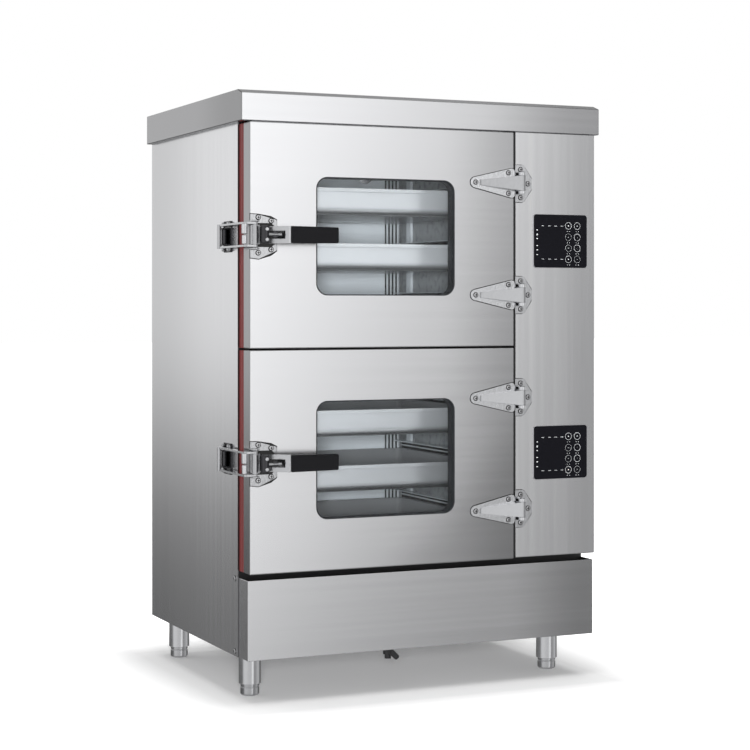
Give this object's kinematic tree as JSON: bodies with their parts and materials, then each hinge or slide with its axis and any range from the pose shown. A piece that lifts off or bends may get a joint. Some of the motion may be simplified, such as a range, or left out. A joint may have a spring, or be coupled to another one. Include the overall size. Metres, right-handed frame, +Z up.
{
  "type": "steam cabinet",
  "caption": "Upright steam cabinet with glazed, latched doors over tray-racked chambers, a control column beside them, a drip trough below and adjustable feet.",
  "frame": {"origin": "on the floor, in the middle of the cabinet's overall width and depth", "axes": "+Z up, front with the doors facing -Y, +X towards the control column"},
  "size_m": [0.732, 0.628, 1.081],
  "materials": {
    "brushed_steel": "brushed stainless sheet",
    "liner_steel": "smooth stainless sheet",
    "rack_steel": "pressed stainless sheet",
    "tray_steel": "bright pressed stainless",
    "glass": "clear toughened glass",
    "seal_rubber": "dull red silicone",
    "wool": "loose mineral wool",
    "bright_metal": "polished castings",
    "grip_black": "satin black moulding",
    "panel_black": "glossy black touch panel",
    "board_green": "lacquered circuit board",
    "electric_grey": "moulded switchgear",
    "boiler_steel": "welded stainless sheet",
    "heater_steel": "heat-tinted tube",
    "pipe_steel": "stainless tube",
    "brass": "turned brass",
    "gland_black": "black nylon",
    "drain_black": "black coated",
    "foot_steel": "turned stainless tube",
    "insert_steel": "turned and polished",
    "float_white": "moulded float"
  },
  "bodies": {
    "cabinet": {"left_side_panel": "brushed_steel", "right_side_panel": "brushed_steel", "rear_panel": "brushed_steel", "top_cap": "brushed_steel", "base_pan": "brushed_steel", "front_frame": "brushed_steel", "column_cover": "brushed_steel", "drip_trough": "brushed_steel", "chamber_liners": "liner_steel", "insulation": "wool", "tray_racks": "rack_steel", "boilers": "boiler_steel", "heaters": "heater_steel", "steam_pipes": "pipe_steel", "water_inlet_valve": "brass", "float_box": "boiler_steel", "power_contactors": "electric_grey", "control_boards": "board_green", "control_panels": "panel_black", "vent_pipes": "pipe_steel", "cable_gland": "gland_black", "drain_valve": "drain_black", "foot_sleeves": "foot_steel", "latch_keepers": "bright_metal", "hinge_leaves": "bright_metal", "body_screws": "bright_metal"},
    "upper_door": {"upper_door_shell": "brushed_steel", "upper_door_inner_panel": "liner_steel", "upper_door_glass": "glass", "upper_door_seal": "seal_rubber", "upper_door_insulation": "wool", "upper_hinge_straps": "bright_metal", "upper_latch_base": "bright_metal", "upper_door_screws": "bright_metal"},
    "upper_latch_lever": {"upper_latch_lever": "bright_metal", "upper_latch_grip": "grip_black"},
    "upper_latch_link": {"upper_latch_link": "bright_metal"},
    "lower_door": {"lower_door_shell": "brushed_steel", "lower_door_inner_panel": "liner_steel", "lower_door_glass": "glass", "lower_door_seal": "seal_rubber", "lower_door_insulation": "wool", "lower_hinge_straps": "bright_metal", "lower_latch_base": "bright_metal", "lower_door_screws": "bright_metal"},
    "lower_latch_lever": {"lower_latch_lever": "bright_metal", "lower_latch_grip": "grip_black"},
    "lower_latch_link": {"lower_latch_link": "bright_metal"},
    "upper_tray_1": {"upper_tray_1": "tray_steel"},
    "upper_tray_2": {"upper_tray_2": "tray_steel"},
    "upper_tray_3": {"upper_tray_3": "tray_steel"},
    "lower_tray_1": {"lower_tray_1": "tray_steel"},
    "lower_tray_2": {"lower_tray_2": "tray_steel"},
    "lower_tray_3": {"lower_tray_3": "tray_steel"},
    "foot_insert_front_left": {"foot_insert_front_left": "insert_steel"},
    "foot_insert_front_right": {"foot_insert_front_right": "insert_steel"},
    "foot_insert_rear_left": {"foot_insert_rear_left": "insert_steel"},
    "foot_insert_rear_right": {"foot_insert_rear_right": "insert_steel"},
    "drain_lever": {"drain_lever": "drain_black"},
    "float": {"float": "float_white"}
  },
  "joints": [
    {"name": "upper_door_hinge", "type": "hinge", "parent": "cabinet", "child": "upper_door", "pos_m": [0.19, -0.279, 0.82475], "axis": [0, 0, 1], "range_deg": [0, 175]},
    {"name": "upper_latch_pivot", "type": "hinge", "parent": "upper_door", "child": "upper_latch_lever", "pos_m": [-0.337, -0.28, 0.82475], "axis": [0, 0, -1], "range_deg": [0, 90]},
    {"name": "upper_link_pivot", "type": "hinge", "parent": "upper_latch_lever", "child": "upper_latch_link", "pos_m": [-0.342, -0.291, 0.82475], "axis": [0, 0, 1], "range_deg": [0, 110]},
    {"name": "lower_door_hinge", "type": "hinge", "parent": "cabinet", "child": "lower_door", "pos_m": [0.19, -0.279, 0.42775], "axis": [0, 0, 1], "range_deg": [0, 175]},
    {"name": "lower_latch_pivot", "type": "hinge", "parent": "lower_door", "child": "lower_latch_lever", "pos_m": [-0.337, -0.28, 0.42775], "axis": [0, 0, -1], "range_deg": [0, 90]},
    {"name": "lower_link_pivot", "type": "hinge", "parent": "lower_latch_lever", "child": "lower_latch_link", "pos_m": [-0.342, -0.291, 0.42775], "axis": [0, 0, 1], "range_deg": [0, 110]},
    {"name": "upper_tray_1_slide", "type": "slide", "parent": "cabinet", "child": "upper_tray_1", "axis": [0, -1, 0], "range_m": [0, 0.03]},
    {"name": "upper_tray_2_slide", "type": "slide", "parent": "cabinet", "child": "upper_tray_2", "axis": [0, -1, 0], "range_m": [0, 0.03]},
    {"name": "upper_tray_3_slide", "type": "slide", "parent": "cabinet", "child": "upper_tray_3", "axis": [0, -1, 0], "range_m": [0, 0.03]},
    {"name": "lower_tray_1_slide", "type": "slide", "parent": "cabinet", "child": "lower_tray_1", "axis": [0, -1, 0], "range_m": [0, 0.03]},
    {"name": "lower_tray_2_slide", "type": "slide", "parent": "cabinet", "child": "lower_tray_2", "axis": [0, -1, 0], "range_m": [0, 0.03]},
    {"name": "lower_tray_3_slide", "type": "slide", "parent": "cabinet", "child": "lower_tray_3", "axis": [0, -1, 0], "range_m": [0, 0.03]},
    {"name": "foot_front_left_screw_out", "type": "slide", "parent": "cabinet", "child": "foot_insert_front_left", "axis": [0, 0, -1], "range_m": [0, 0.02]},
    {"name": "foot_front_right_screw_out", "type": "slide", "parent": "cabinet", "child": "foot_insert_front_right", "axis": [0, 0, -1], "range_m": [0, 0.02]},
    {"name": "foot_rear_left_screw_out", "type": "slide", "parent": "cabinet", "child": "foot_insert_rear_left", "axis": [0, 0, -1], "range_m": [0, 0.02]},
    {"name": "foot_rear_right_screw_out", "type": "slide", "parent": "cabinet", "child": "foot_insert_rear_right", "axis": [0, 0, -1], "range_m": [0, 0.02]},
    {"name": "drain_lever_turn", "type": "hinge", "parent": "cabinet", "child": "drain_lever", "pos_m": [-0.044, -0.2085, 0.066], "axis": [0, 1, 0], "range_deg": [0, 90]},
    {"name": "float_swing", "type": "hinge", "parent": "cabinet", "child": "float", "pos_m": [0.205, 0.238, 0.1675], "axis": [-1, 0, 0], "range_deg": [0, 20]}
  ],
  "couplings": [
    {"joint": "upper_link_pivot", "follows": "upper_latch_pivot", "ratio": 1.2222},
    {"joint": "lower_link_pivot", "follows": "lower_latch_pivot", "ratio": 1.2222}
  ]
}
